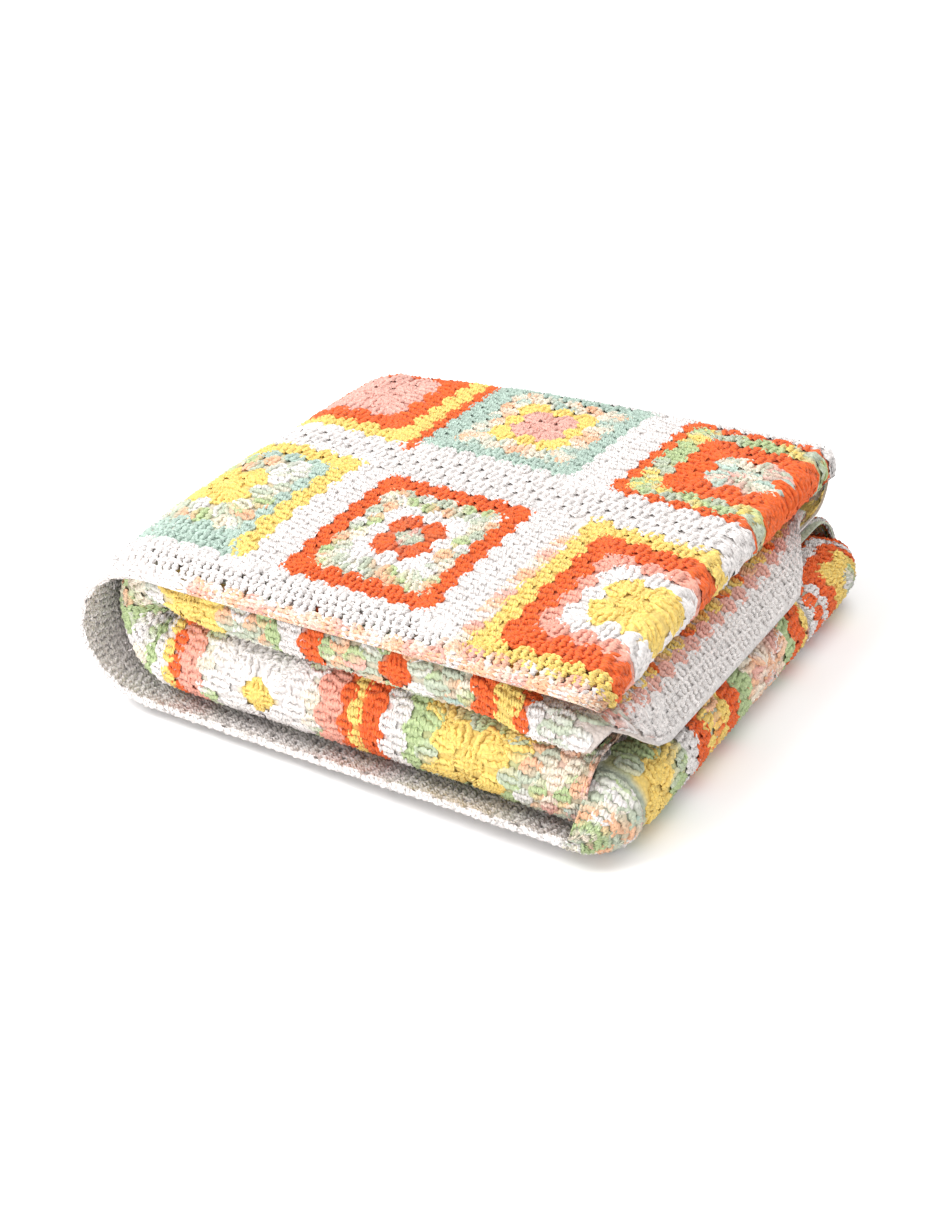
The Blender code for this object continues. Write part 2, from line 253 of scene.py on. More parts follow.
class FoldLine:
    """One row of a fold between two layers' rows, in one half, at a turn of 0 to pi. reach is its direction,
    -1 for a fold at the front and 1 at the back."""

    def __init__(self, first, last, turn, reach, recess):
        self.first, self.last, self.turn, self.reach = first, last, turn, reach
        self.share = (1 - math.cos(turn)) / 2
        self.flap_from = mix(first.flap_from, last.flap_from, self.share)
        self.flap = mix(first.flap, last.flap, self.share)
        self.drop = mix(first.drop, last.drop, self.share)
        self.curl, self.radius = 0.0, first.radius
        if first.curl > 0:
            self.flap = mix(EDGE_FLAP, last.flap, self.share)
            cap = first.up * (self.at(self.flap_from)[1] - CURL_AXIS_Z[first.side])
            if cap > LEAST_CAP:
                self.curl = math.pi * min(cap / first.radius, 1.0) ** CAP_POWER
                self.radius = cap
        self.round = mix(first.round, last.round, self.share)
        self.recess = recess

    def end_tilt(self):
        return 0.0

    def at(self, x):
        y_first, z_first = self.first.at(x)
        y_last, z_last = self.last.at(x)
        y = mix(y_first, y_last, self.share) + self.reach * abs(z_first - z_last) / 2 * math.sin(self.turn)
        return y, mix(z_first, z_last, self.share)


def fold(first_row, last_row, reach, steps, recess):
    """Rows between two rows of different layers, round a fold."""
    rows = []
    for i in range(1, steps):
        turn = math.pi * i / steps
        rows.append({side: FoldLine(first_row[side], last_row[side], turn, reach, recess) for side in LAYERS})
    return rows


def layer_rows(name, starts, ends, steps):
    """Rows of one inner layer between two depths; each depth is a pair of dicts, y and end_y by half."""
    rows = []
    for i in range(steps + 1):
        share = i / steps
        ys, end_ys = ({side: mix(a[side], b[side], share) for side in LAYERS} for a, b in zip(starts, ends))
        rows.append({side: PlainLine(side, name, ys[side], end_ys[side]) for side in LAYERS})
    return rows


def both(y):
    """The same depth in both halves, along the layer and at its right end."""
    return {"over": y, "under": y}, {"over": y, "under": y}


def nose_axis():
    """Depth of the front folds' axis, along the layers and at their right ends."""
    main, end = {}, {}
    for side, layers in LAYERS.items():
        rise = FRONT_RISE if side == "over" else 0.0
        main[side] = FRONT_Y + abs(layers["upper"].height - layers["inner"].height) / 2
        end[side] = FRONT_Y + abs(layers["upper"].end_height + rise - layers["inner"].end_height) / 2
    return main, end


def section_rows():
    """The back-and-forth section, row by row, and the name of each row's stretch."""
    edge = [{side: OuterLine(side, 0.0, 1 - i / WRAP_STEPS) for side in LAYERS} for i in range(WRAP_STEPS)]
    outer = [{side: OuterLine(side, i / OUTER_ROWS, 0.0) for side in LAYERS} for i in range(OUTER_ROWS + 1)]
    inner = layer_rows("inner", both(BACK_Y), nose_axis(), INNER_ROWS)
    upper = layer_rows("upper", nose_axis(), both(INNER_BACK_Y), UPPER_ROWS)
    third = layer_rows("third", both(INNER_BACK_Y), both(FREE_END_Y), THIRD_ROWS)
    stretches = (
        ("edge", edge),
        ("outer", outer),
        ("back fold", fold(outer[-1], inner[0], 1, BACK_FOLD_STEPS, 0.0)),
        ("inner", inner),
        ("front fold", fold(inner[-1], upper[0], -1, FRONT_FOLD_STEPS, RECESS)),
        ("upper", upper),
        ("back turn", fold(upper[-1], third[0], 1, TURN_STEPS, 0.0)),
        ("third", third),
    )
    return [(name, row) for name, rows in stretches for row in rows]


def turned_columns(side):
    """Shares of the turned end's length, for its curl and its flap, from its start to the free edge."""
    curl = [CURL_SHARE * i / CURL_STEPS for i in range(1, CURL_STEPS + 1)]
    flap = [mix(CURL_SHARE, 1.0, i / FLAP_STEPS) for i in range(1, FLAP_STEPS + 1)]
    return [(side + " end", share) for share in curl + flap]


def section_columns():
    """Stations along the band: top end, top, bend, bottom, bottom end."""
    columns = list(reversed(turned_columns("over")))
    columns += [("over", mix(TOP_END_X, TOP_LEFT_X, i / STRAIGHT_STEPS)) for i in range(STRAIGHT_STEPS + 1)]
    columns += [("bend", i / BEND_STEPS) for i in range(BEND_STEPS + 1)]
    columns += [("under", mix(LOW_LEFT_X, LOW_END_X, i / STRAIGHT_STEPS)) for i in range(STRAIGHT_STEPS + 1)]
    columns += turned_columns("under")
    return columns


def bend_radius(row):
    """Radius of a row's way round the half fold, before its bulge."""
    return (row["over"].at(BEND_X)[1] - row["under"].at(BEND_X)[1]) / 2


def recess_at(row, path):
    """How far a row has drawn back, by its length of path past RECESS_FROM_X."""
    radius = bend_radius(row)
    whole = RECESS_FROM_X - BEND_X + radius * math.pi / 2
    return row["over"].recess * smooth(path / whole) ** (1 + RECESS_EASE * radius)


def straight_point(row, side, x, last_x):
    """A point of a row's straight part. Rows that stop short draw their columns together."""
    line = row[side]
    if x > SQUEEZE_FROM_X:
        x = mix(SQUEEZE_FROM_X, line.flap_from, (x - SQUEEZE_FROM_X) / (last_x - SQUEEZE_FROM_X))
    y, z = line.at(x)
    return x, y + recess_at(row, max(RECESS_FROM_X - x, 0.0)), z


def end_point(line, share, up):
    """A point of a row's right end: round its curl and along its flap."""
    y, z = line.at(line.flap_from)
    arc = line.radius * line.curl
    length = share * (arc + line.flap)
    turn = min(length, arc) / line.radius
    rest = max(length - arc, 0.0)
    along = line.radius * math.sin(turn) + rest * math.cos(turn)
    inward = line.radius * (1 - math.cos(turn)) + rest * math.sin(turn)
    tilt = line.end_tilt()
    x = line.flap_from + along
    y += inward * math.sin(tilt) + line.round * (max(along, 0.0) / ROUND_LENGTH) ** 2
    z -= up * inward * math.cos(tilt)
    return x, y, z - line.drop * (max(x - DROP_FROM_X, 0.0) / DROP_LENGTH) ** 2


def bend_point(row, share):
    """A point of a row's way round the half fold."""
    turn = math.pi * share
    y_over, z_over = row["over"].at(BEND_X)
    y_under, z_under = row["under"].at(BEND_X)
    bulge = math.sin(turn) ** 2
    radius = bend_radius(row)
    path = RECESS_FROM_X - BEND_X + radius * min(turn, math.pi - turn)
    if isinstance(row["over"], OuterLine):
        layers = LAYERS["over"]["outer"], LAYERS["under"]["outer"]
        radius += ((layers[0].height - layers[1].height) / 2 - radius) * bulge
    y = mix(y_over, y_under, (1 - math.cos(turn)) / 2) + recess_at(row, path)
    return BEND_X - radius * math.sin(turn), y, (z_over + z_under) / 2 + radius * math.cos(turn)


def reach_back(x, y):
    """The depth of a point, drawn out to the back by its place along the stack."""
    along = min(max((x - BEND_X) / (REACH_TO_X - BEND_X), 0.0), 1.0)
    reach = BACK_REACH * along + BACK_BOW * math.sin(math.pi * along)
    return y + reach * smooth((y - REACH_FROM_Y) / (REACH_TO_Y - REACH_FROM_Y))


def cloth_point(row, column):
    """The middle surface's point at one row and one column of the folded sheet."""
    place, value = column
    if place == "bend":
        point = bend_point(row, value)
    elif place == "over":
        point = straight_point(row, "over", value, TOP_END_X)
    elif place == "under":
        point = straight_point(row, "under", value, LOW_END_X)
    elif place == "over end":
        point = end_point(row["over"], value, 1)
    else:
        point = end_point(row["under"], value, -1)
    return point[0] + SHIFT_X, reach_back(point[0], point[1]) + SHIFT_Y, point[2]


STRETCHES = section_rows()
COLUMNS = section_columns()
STRETCH_NAMES = [name for name, row in STRETCHES]
FOLDED = np.array([[cloth_point(row, column) for column in COLUMNS] for name, row in STRETCHES])
HALF_FOLD = CURL_STEPS + FLAP_STEPS + STRAIGHT_STEPS + 1 + BEND_STEPS // 2  # column of the half fold


class Patch:
    """A stretch of the folded cloth, laid out flat on even s and v, that stitches can be carried onto."""

    def __init__(self, first, last, reference, edge_width=None, facing=1):
        points = FOLDED[first : last + 1]
        line = points[reference - first]
        along = np.concatenate(([0.0], np.cumsum(np.linalg.norm(np.diff(line, axis=0), axis=1))))
        s = along[HALF_FOLD] - along
        v = np.zeros(points.shape[:2])
        v[1:] = np.cumsum(np.linalg.norm(np.diff(points, axis=0), axis=2), axis=0)
        v -= v[reference - first]
        if edge_width is not None:
            front = v < 0
            v = np.where(front, v / np.maximum(-v[0], 1e-9) * edge_width, v)
        self.s_at = np.arange(s.min(), s.max(), FLAT_STEP)
        self.v_at = np.arange(v.min(), v.max() + FLAT_STEP, FLAT_STEP)
        self.last_v = np.interp(self.s_at, s[::-1], v[-1][::-1])
        by_column = np.empty((len(self.v_at), len(s), 3))
        for j in range(len(s)):
            for k in range(3):
                by_column[:, j, k] = np.interp(self.v_at, v[:, j], points[:, j, k])
        self.flat = np.empty((len(self.v_at), len(self.s_at), 3))
        for i in range(len(self.v_at)):
            for k in range(3):
                self.flat[i, :, k] = np.interp(self.s_at, s[::-1], by_column[i, ::-1, k])
        across, ahead = np.gradient(self.flat, axis=1), np.gradient(self.flat, axis=0)
        normal = np.cross(across, ahead)
        size = np.linalg.norm(normal, axis=2, keepdims=True)
        self.normal = facing * normal / np.maximum(size, 1e-12)
        self.s, self.v, self.facing, self.first = s, v, facing, first

    def carry(self, s, v, rise):
        """Points of the folded cloth at s and v, lifted by rise from its middle."""
        i = np.clip((v - self.v_at[0]) / FLAT_STEP, 0, len(self.v_at) - 1.001)
        j = np.clip((s - self.s_at[0]) / FLAT_STEP, 0, len(self.s_at) - 1.001)
        i0, j0 = i.astype(int), j.astype(int)
        fi, fj = (i - i0)[:, None], (j - j0)[:, None]

        def blend(table):
            near = table[i0, j0] * (1 - fj) + table[i0, j0 + 1] * fj
            far = table[i0 + 1, j0] * (1 - fj) + table[i0 + 1, j0 + 1] * fj
            return near * (1 - fi) + far * fi

        normal = blend(self.normal)
        normal /= np.maximum(np.linalg.norm(normal, axis=1, keepdims=True), 1e-12)
        return blend(self.flat) + normal * rise[:, None]

    def covers(self, s, v, margin_s, margin_v):
        """Whether a flat point lies on this stretch, inside its edges by the margins."""
        if not self.s_at[0] + margin_s < s < self.s_at[-1] - margin_s:
            return False
        return self.v_at[0] + margin_v < v < np.interp(s, self.s_at, self.last_v) - margin_v


def row_index(name, share):
    """The fine grid's row at a share of the way through a stretch."""
    rows = [i for i, found in enumerate(STRETCH_NAMES) if found == name]
    return rows[round(share * (len(rows) - 1))]


PATCHES = {
    "outer": Patch(0, row_index("inner", 0.25), row_index("outer", 0.0), EDGE_WIDTH),
    "folds": Patch(row_index("inner", 0.6), row_index("upper", 1.0), row_index("front fold", 0.5)),
    "flap": Patch(row_index("upper", 0.08), row_index("upper", 1.0), row_index("upper", 0.5)),
    "cap": Patch(0, row_index("outer", 0.08), row_index("edge", 0.5)),
    "inside": Patch(0, row_index("outer", 0.2), row_index("outer", 0.0), EDGE_WIDTH, facing=-1),
}

# The yarns and the pattern

# Letters of the yarns in the tables below. A yarn of several colours changes from one to the next as it runs.
YARNS = {
    "W": ("white",),
    "O": ("orange",),
    "Y": ("yellow",),
    "S": ("salmon",),
    "D": ("dusty_pink",),
    "T": ("teal",),
    "L": ("light_green",),
    "m": ("sage", "cream", "light_green", "peach", "sage", "white"),
    "p": ("peach", "cream", "dusty_pink", "peach", "white"),
    "g": ("sage", "dusty_pink", "teal", "cream"),
    "l": ("light_green", "light_green", "yellow", "sage"),
    "c": ("cream", "peach", "cream", "teal"),
    "k": ("white", "white", "dusty_pink", "white", "sage"),
    "a": ("orange", "terracotta"),
    "y": ("yellow", "peach", "yellow", "orange"),
    "h": ("white", "light_green", "white", "cream"),
    "n": ("sage", "peach", "teal", "dusty_pink", "light_green"),
}

# Fields of the flat cloth with squares of their own: the limits of each, and the middle of its first square
Field = namedtuple("Field", "patch s_from s_to v_from v_to first_s first_v")
FIELDS = {
    "outer": Field("outer", LOW_FIELD_S, MOST_S, -0.0112, MOST_V, 0.060, FIRST_SQUARE_V),
    "low curl": Field("outer", -0.600, LOW_FIELD_S, 0.004, MOST_V, -0.395, 0.011),
    "high nose": Field("folds", 0.0, MOST_S, -0.060, 0.070, 0.060, 0.0),
    "low nose": Field("folds", -0.600, 0.0, -0.070, 0.060, -0.105, 0.0),
}

# Squares, by column and row from a field's first one: yarns of the rounds from the middle out, and of single
# sides where they differ. at is a middle of its own in s and v, and stretch its size in s and v.
Square = namedtuple("Square", "field column row rounds front back left right at stretch",
                    defaults=("", "", "", "", None, (1.0, 1.0)))
SQUARES = (
    Square("outer", 0, 0, "YYmmTTTW", back="YYmmTYYW", right="YYmmTYYW", at=(0.069, 0.076),
           stretch=(0.89, 1.07)),
    Square("outer", 1, 0, "gaWmmOOW", at=(0.197, 0.0735), stretch=(0.79, 0.98)),
    Square("outer", 2, 0, "YYWSOOYY", at=(0.341, 0.0675), stretch=(0.90, 1.14)),
    Square("outer", 0, 1, "DDDOOYYW", right="DDDOOYYO", at=(0.0745, 0.238), stretch=(0.93, 1.0)),
    Square("outer", 1, 1, "DDYccTTW", left="DDYccTTT", at=(0.1935, 0.241), stretch=(0.80, 0.95)),
    Square("outer", 2, 1, "ggOOllOW", at=(0.331, 0.241), stretch=(1.0, 0.95)),
    Square("outer", -1, 0, "YYWSSOOW"),
    Square("outer", -2, 0, "OgWmmTTW"),
    Square("outer", -1, 1, "DDYccTTW"),
    Square("outer", -2, 1, "YYmmOOYW"),
    Square("low curl", 0, 0, "YYllWWOO"),
    Square("low curl", 0, 1, "ppcLLOOY", back="ppLOOYpW"),
    Square("low curl", 0, 2, "mmmYYOOW"),
    Square("high nose", 0, 0, "YYmmmmLW"),
    Square("high nose", 1, 0, "OmnnmOOW", right="OmnnmOOY"),
    Square("high nose", 2, 0, "kkkkkWOY", back="kkkkkWWW"),
    Square("low nose", 1, 0, "hhhhWhLW"),
    Square("low nose", 0, 0, "YWWhSSOY"),
    Square("low nose", -1, 0, "YYlLWWOO", right="YYlLWWOO", left="YYlmmpmn"),
    Square("low nose", -2, 0, "mnmpmnmp"),
)
HIDDEN_ROUNDS = ("YYmmTTYW", "gaWmmOOW", "DDYccTTW", "YYWSSOOW")  # for squares that are in no table

# Straight rows of clusters: along s or v, from one end to the other, starting at a line and growing one way,
# or lying along the edge. yarns has a letter for each row.
Strip = namedtuple("Strip", "patch along run_from run_to start end yarns step", defaults=(PITCH,))
STRIPS = (
    Strip("outer", "s", LOW_FIELD_S, MOST_S, 0.1430, 0.1770, "WWWW"),
    Strip("outer", "s", LOW_FIELD_S, MOST_S, 0.3060, 0.3250, "WW"),
    Strip("outer", "v", 0.010, 0.145, 0.1295, 0.1440, "WW"),
    Strip("outer", "v", 0.000, 0.145, 0.2505, 0.2725, "WWW"),
    Strip("outer", "v", -0.014, 0.132, 0.2725, 0.2800, "p", 0.0120),
    Strip("outer", "v", 0.176, 0.306, 0.2470, 0.2640, "WW"),
    Strip("outer", "s", LOW_FIELD_S, 0.270, 0.0084, -0.0180, "WWW", 0.0155),
    Strip("outer", "s", 0.270, MOST_S, -0.0090, -0.0180, "p", 0.0155),
    Strip("outer", "s", 0.110, MOST_S, -0.0180, -0.0270, "p", 0.0130),
    Strip("outer", "s", LOW_FIELD_S, 0.110, -0.0180, -0.0270, "W", 0.0130),
    Strip("cap", "v", -0.012, 0.030, LOW_END_S, -0.408, "mhmnmhmn", 0.0105),
    Strip("inside", "s", LOW_FIELD_S, 0.075, 0.0340, -0.0270, "kkWWWWW"),
    Strip("outer", "edge", 0.110, MOST_S, -0.0205, -0.0265, "p", 0.0120),
    Strip("outer", "edge", LOW_FIELD_S, 0.110, -0.0205, -0.0265, "W", 0.0120),
    Strip("outer", "s", -0.600, LOW_FIELD_S, 0.0796, 0.0994, "Yy"),
    Strip("outer", "s", -0.600, LOW_FIELD_S, 0.2366, 0.2564, "WO"),
    Strip("flap", "v", -0.108, 0.156, 0.3440, 0.3860, "yDWWWW"),
)

SIDES = {"front": (0, -1), "back": (0, 1), "left": (-1, 0), "right": (1, 0)}  # growth in s and v


def colour_property(name, red, green, blue):
    return bpy.props.FloatVectorProperty(
        name=name,
        description=f"Colour of the {name.lower()} yarn",
        subtype="COLOR",
        size=3,
        min=0.0,
        max=1.0,
        default=linear(red, green, blue),
    )


class BlanketYarns(bpy.types.PropertyGroup):
    """The colours of the yarns."""

    white: colour_property("White", 244, 238, 235)
    orange: colour_property("Orange", 244, 108, 48)
    terracotta: colour_property("Terracotta", 222, 110, 66)
    yellow: colour_property("Yellow", 254, 220, 124)
    salmon: colour_property("Salmon", 247, 175, 155)
    dusty_pink: colour_property("Dusty pink", 240, 184, 170)
    peach: colour_property("Peach", 249, 194, 156)
    cream: colour_property("Cream", 245, 232, 212)
    teal: colour_property("Teal", 190, 211, 198)
    sage: colour_property("Sage", 198, 206, 184)
    light_green: colour_property("Light green", 190, 208, 154)


class BlanketSizes(bpy.types.PropertyGroup):
    """The sizes of the cloth and its stitches."""

    cloth_thick: bpy.props.FloatProperty(
        name="Cloth", description="Thickness of the sheet behind the stitches", default=0.0012, unit="LENGTH"
    )
    post_radius: bpy.props.FloatProperty(
        name="Stitch", description="Half the width of one tall stitch", default=0.0022, unit="LENGTH"
    )
    loop_radius: bpy.props.FloatProperty(
        name="Loop", description="Half the width of the loop on a stitch", default=0.0013, unit="LENGTH"
    )
    uneven: bpy.props.FloatProperty(
        name="Uneven", description="How far a cluster is off its even place", default=0.0006, unit="LENGTH"
    )


# One cluster

Cluster = namedtuple("Cluster", "patch s v turn width height colours")
POSTS = 3
POST_FOOT, POST_HEAD = 0.130, 0.200  # spread of the posts at foot and head, of the cluster's width
POST_BELLY = 0.140  # how much wider they spread between
POST_END = 0.80  # width of a post's ends, of its middle
POST_FLATNESS = 0.86  # its height off the cloth, of its width
POST_TOP = 0.94  # where it ends, of the round's depth
POST_SWAY = 0.012  # how far it leans to one side or the other, of the cluster's width
POST_RISE = 0.0005  # of its middle and its foot, off the cloth
LOOP_RISE, LOOP_PLACE = 0.0011, 0.93  # of the loop on top of a post
LOOP_TILT, LOOP_SWING = 18, 8  # in degrees
LOOP_LENGTH = 2.1  # of half its width
KNOB = 0.24  # rise and fall of a post's radius along it
FOOT_DIP = 0.38  # how far the foot reaches into the round before, of the round's depth
CORNER_LEAN = 0.22  # of the clusters next to a square's corners
CORNER_WIDTH, CORNER_HEIGHT = 0.78, 1.30  # of the cluster in each corner, of the others'
CORNER_FOOT = 0.10  # where that cluster starts, of the round's depth
CORNER_LEAST, CORNER_GROWTH = 0.50, 0.10  # its size at the middle, and how much more with each round
TOOTH_SHIFT = 0.15  # of a round's depth, so that the teeth reach as far to both sides of its line
GAP_PAINTED_SHADE = 0.80  # darkening of the sheet behind the stitches: painted shade that shows in the gaps between them
DetailLevel = namedtuple("DetailLevel", "sides bands loop_sides loop_bands")
FINE = DetailLevel(5, 6, 5, 3)
PLAIN = DetailLevel(4, 4, 4, 3)
VARIANTS = 5
PLY_LENGTH = 0.0042  # length of yarn in which a ply goes once round
KNOB_SIZE = 0.0026  # of the grain on the stitches


def mesh_parts(bm):
    """Vertices and triangles of a bmesh as arrays."""
    bmesh.ops.triangulate(bm, faces=bm.faces)
    bm.verts.ensure_lookup_table()
    places = np.array([vert.co for vert in bm.verts])
    corners = np.array([[vert.index for vert in face.verts] for face in bm.faces])
    bm.free()
    return places, corners


def tube(sides, bands):
    """An open tube round Z, of radius 1, from 0 to 1."""
    bm = bmesh.new()
    bmesh.ops.create_cone(bm, cap_ends=False, segments=sides, radius1=1.0, radius2=1.0, depth=1.0)
    upright = [edge for edge in bm.edges if abs(edge.verts[0].co.z - edge.verts[1].co.z) > 0.5]
    bmesh.ops.subdivide_edges(bm, edges=upright, cuts=bands - 1, use_grid_fill=True)
    bmesh.ops.translate(bm, verts=bm.verts, vec=(0.0, 0.0, 0.5))
    bm.verts.index_update()
    return mesh_parts(bm)


def bead(sides, bands):
    """A round bead of radius 1, its poles on Z."""
    bm = bmesh.new()
    bmesh.ops.create_uvsphere(bm, u_segments=sides, v_segments=bands, radius=1.0)
    bm.verts.index_update()
    return mesh_parts(bm)


class ClusterShape:
    """One cluster of three posts and their top loops. Its places are across and ahead, as shares of the
    cluster's width and height, and rise, in metres."""

    def __init__(self, sizes, detail, generator):
        self.places, self.corners, self.post, self.along, self.yarn_map = [], [], [], [], []
        self.count = 0
        post_places, post_corners = tube(detail.sides, detail.bands)
        loop_places, loop_corners = bead(detail.loop_sides, detail.loop_bands)
        for i in range(POSTS):
            side = i - (POSTS - 1) / 2
            self.add_post(post_places, post_corners, i, side, sizes, generator, detail.bands)
            self.add_loop(loop_places, loop_corners, i, side, sizes, generator)
        self.places = np.concatenate(self.places)
        self.corners = np.concatenate(self.corners)
        self.post = np.concatenate(self.post)
        self.along = np.concatenate(self.along)
        self.yarn_map = np.concatenate(self.yarn_map)

    def add(self, places, corners, post, along, angle, length):
        self.places.append(places)
        self.corners.append(corners + self.count)
        self.post.append(np.full(len(places), post))
        self.along.append(along)
        self.count += len(places)
        around = angle / (2 * math.pi)
        per_corner = around[corners]
        first = per_corner[:, :1]
        per_corner = first + (per_corner - first + 0.5) % 1.0 - 0.5
        self.yarn_map.append(np.stack((per_corner, (length / PLY_LENGTH)[corners]), axis=2))

    def add_post(self, tube_places, corners, i, side, sizes, generator, bands):
        share = tube_places[:, 2]
        angle = np.arctan2(tube_places[:, 1], tube_places[:, 0])
        bulge = np.sin(np.pi * np.clip(share, 0, 1)) ** 0.7
        ring = np.round(share * bands) + i
        radius = sizes.post_radius * (POST_END + (1 - POST_END) * bulge) * generator.uniform(0.95, 1.05)
        radius = radius * (1 + KNOB * np.where(ring % 2 == 0, -1.0, 1.0))
        spread = POST_FOOT + (POST_HEAD - POST_FOOT) * share + POST_BELLY * bulge
        across = side * spread + generator.uniform(-POST_SWAY, POST_SWAY) * np.cos(3 * share + i)
        ahead = -FOOT_DIP + (POST_TOP + FOOT_DIP) * share
        rise = POST_RISE * (bulge + 1 - share)
        places = np.stack(
            (
                across + radius * np.cos(angle) / PITCH,
                ahead,
                rise + radius * POST_FLATNESS * np.sin(angle),
            ),
            axis=1,
        )
        length = share * ROUND * (1 + FOOT_DIP)
        self.add(places, corners, i, share * 0.9, angle, length)

    def add_loop(self, bead_places, corners, i, side, sizes, generator):
        tilt = math.radians(LOOP_TILT + generator.uniform(-LOOP_SWING, LOOP_SWING))
        along = bead_places[:, 2] * sizes.loop_radius * LOOP_LENGTH
        thick = bead_places[:, 0] * sizes.loop_radius
        across = side * (POST_HEAD + 0.01) + (along * math.cos(tilt) - thick * math.sin(tilt)) / PITCH
        ahead = LOOP_PLACE + (along * math.sin(tilt) + thick * math.cos(tilt)) / ROUND
        rise = LOOP_RISE + bead_places[:, 1] * sizes.loop_radius
        angle = np.arctan2(bead_places[:, 1], bead_places[:, 0])
        self.add(np.stack((across, ahead, rise), axis=1), corners, i, np.full(len(along), 1.0), angle, along)


# Laying out the clusters


class YarnRun:
    """The yarn of one round or row, stitch by stitch."""

    def __init__(self, letter, palette, generator):
        self.colours = [palette[name] for name in YARNS[letter]]
        self.generator = generator
        self.phase = generator.uniform(0, len(self.colours))

    def take(self, count):
        """The yarn's colour at count + 1 places along the next stitches."""
        taken = []
        for i in range(count + 1):
            shade = self.generator.uniform(0.93, 1.04)
            if len(self.colours) == 1:
                colour = self.colours[0]
            else:
                first = int(self.phase) % len(self.colours)
                second = (first + 1) % len(self.colours)
                share = smooth((self.phase % 1.0 - 0.3) / 0.4)
                colour = self.colours[first] * (1 - share) + self.colours[second] * share
                if i < count:
                    self.phase += self.generator.uniform(0.10, 0.75)
            taken.append(np.clip(colour * shade, 0.0, 1.0))
        return taken


def side_rounds(square):
    """The yarns of a square's rounds, for each of its sides."""
    return {side: getattr(square, side) or square.rounds for side in SIDES}


def squares_of(field_name):
    """Middle, size and yarns by side of each square that a field can hold."""
    field = FIELDS[field_name]
    listed = {(square.column, square.row): square for square in SQUARES if square.field == field_name}
    half = ROUND_ENDS[-1]
    for column in range(-5, 5):
        for row in range(-1, 4):
            middle_s = field.first_s + column * SQUARE_PITCH_S
            middle_v = field.first_v + row * SQUARE_PITCH_V
            if not field.s_from - half < middle_s < field.s_to + half:
                continue
            if not field.v_from - half < middle_v < field.v_to + half:
                continue
            hidden = HIDDEN_ROUNDS[(column + 2 * row) % len(HIDDEN_ROUNDS)]
            square = listed.get((column, row), Square(field_name, column, row, hidden))
            yield square.at or (middle_s, middle_v), square.stretch, side_rounds(square)


def square_clusters(field_name, palette, generator):
    """The clusters of a field's squares, round by round."""
    field = FIELDS[field_name]
    for (middle_s, middle_v), (wide_s, wide_v), sides in squares_of(field_name):
        for number in range(1, ROUNDS + 1):
            start, end = ROUND_ENDS[number - 1], ROUND_ENDS[number]
            for side, (grow_s, grow_v) in SIDES.items():
                growth, across = (wide_s, wide_v) if grow_s else (wide_v, wide_s)
                width = (start + end) / number
                foot = start + TOOTH_SHIFT * (end - start) if number > 1 else 0.0
                run = YarnRun(sides[side][number - 1], palette, generator)
                for i in range(number):
                    off = (i - (number - 1) / 2) * width
                    s = middle_s + (grow_s * foot + grow_v * off) * wide_s
                    v = middle_v + (grow_v * foot - grow_s * off) * wide_v
                    colours = run.take(POSTS)
                    lean = 0.0
                    if number > 1 and i in (0, number - 1):
                        lean = -CORNER_LEAN if i == 0 else CORNER_LEAN
                    turn = math.atan2(grow_v, grow_s) - lean
                    if field.s_from <= s <= field.s_to and field.v_from <= v <= field.v_to:
                        height = (end - start) * growth
                        yield Cluster(field.patch, s, v, turn, width * across, height, colours)
                if number > 1:
                    corner = start + CORNER_FOOT * (end - start)
                    s = middle_s + (grow_s + grow_v) * corner * wide_s
                    v = middle_v + (grow_v - grow_s) * corner * wide_v
                    turn = math.atan2((grow_v - grow_s) * wide_v, (grow_s + grow_v) * wide_s)
                    if field.s_from <= s <= field.s_to and field.v_from <= v <= field.v_to:
                        size = min(CORNER_LEAST + CORNER_GROWTH * number, 1.0)
                        height = (end - start) * CORNER_HEIGHT * size * (wide_s + wide_v) / 2
                        wide = PITCH * CORNER_WIDTH * size
                        yield Cluster(field.patch, s, v, turn, wide, height, run.take(POSTS))


def strip_clusters(palette, generator):
    """The clusters of the straight rows."""
    for strip in STRIPS:
        rows = len(strip.yarns)
        depth = (strip.end - strip.start) / rows
        count = round((strip.run_to - strip.run_from) / strip.step)
        for number, letter in enumerate(strip.yarns):
            run = YarnRun(letter, palette, generator)
            base = strip.start + depth * number
            for i in range(count):
                off = strip.run_from + (i + (0.5 if number % 2 else 0.0)) * strip.step
                colours = run.take(POSTS)
                if strip.along == "edge":
                    yield Cluster(strip.patch, off, base + depth / 2, 0.0, EDGE_BRAID, strip.step, colours)
                elif strip.along == "s":
                    turn = math.copysign(math.pi / 2, depth)
                    yield Cluster(strip.patch, off, base, turn, PITCH, abs(depth), colours)
                else:
                    turn = 0.0 if depth > 0 else math.pi
                    yield Cluster(strip.patch, base, off, turn, PITCH, abs(depth), colours)


def on_cloth(cluster):
    """Whether the middle of a cluster is on the cloth."""
    middle = cluster.height * 0.5
    s = cluster.s + math.cos(cluster.turn) * middle
    v = cluster.v + math.sin(cluster.turn) * middle
    margin_s = abs(math.cos(cluster.turn)) * middle * EDGE_MARGIN
    margin_v = abs(math.sin(cluster.turn)) * middle * EDGE_MARGIN
    return PATCHES[cluster.patch].covers(s, v, margin_s, margin_v)


def group_of(cluster):
    """The group of pieces that a cluster goes with."""
    if cluster.patch in ("folds", "flap"):
        return "front_folds"
    if cluster.patch == "inside":
        return "border"
    if cluster.patch == "cap":
        return "low_end"
    if cluster.v < BORDER_TO_V and cluster.s > LOW_FIELD_S:
        return "border"
    if cluster.v > BACK_FROM_V:
        return "back"
    if cluster.s < LOW_END_S:
        return "low_end"
    if cluster.s < UNDERSIDE_TO_S:
        return "underside"
    if cluster.s < TOP_FROM_S:
        return "round_end"
    return "top"


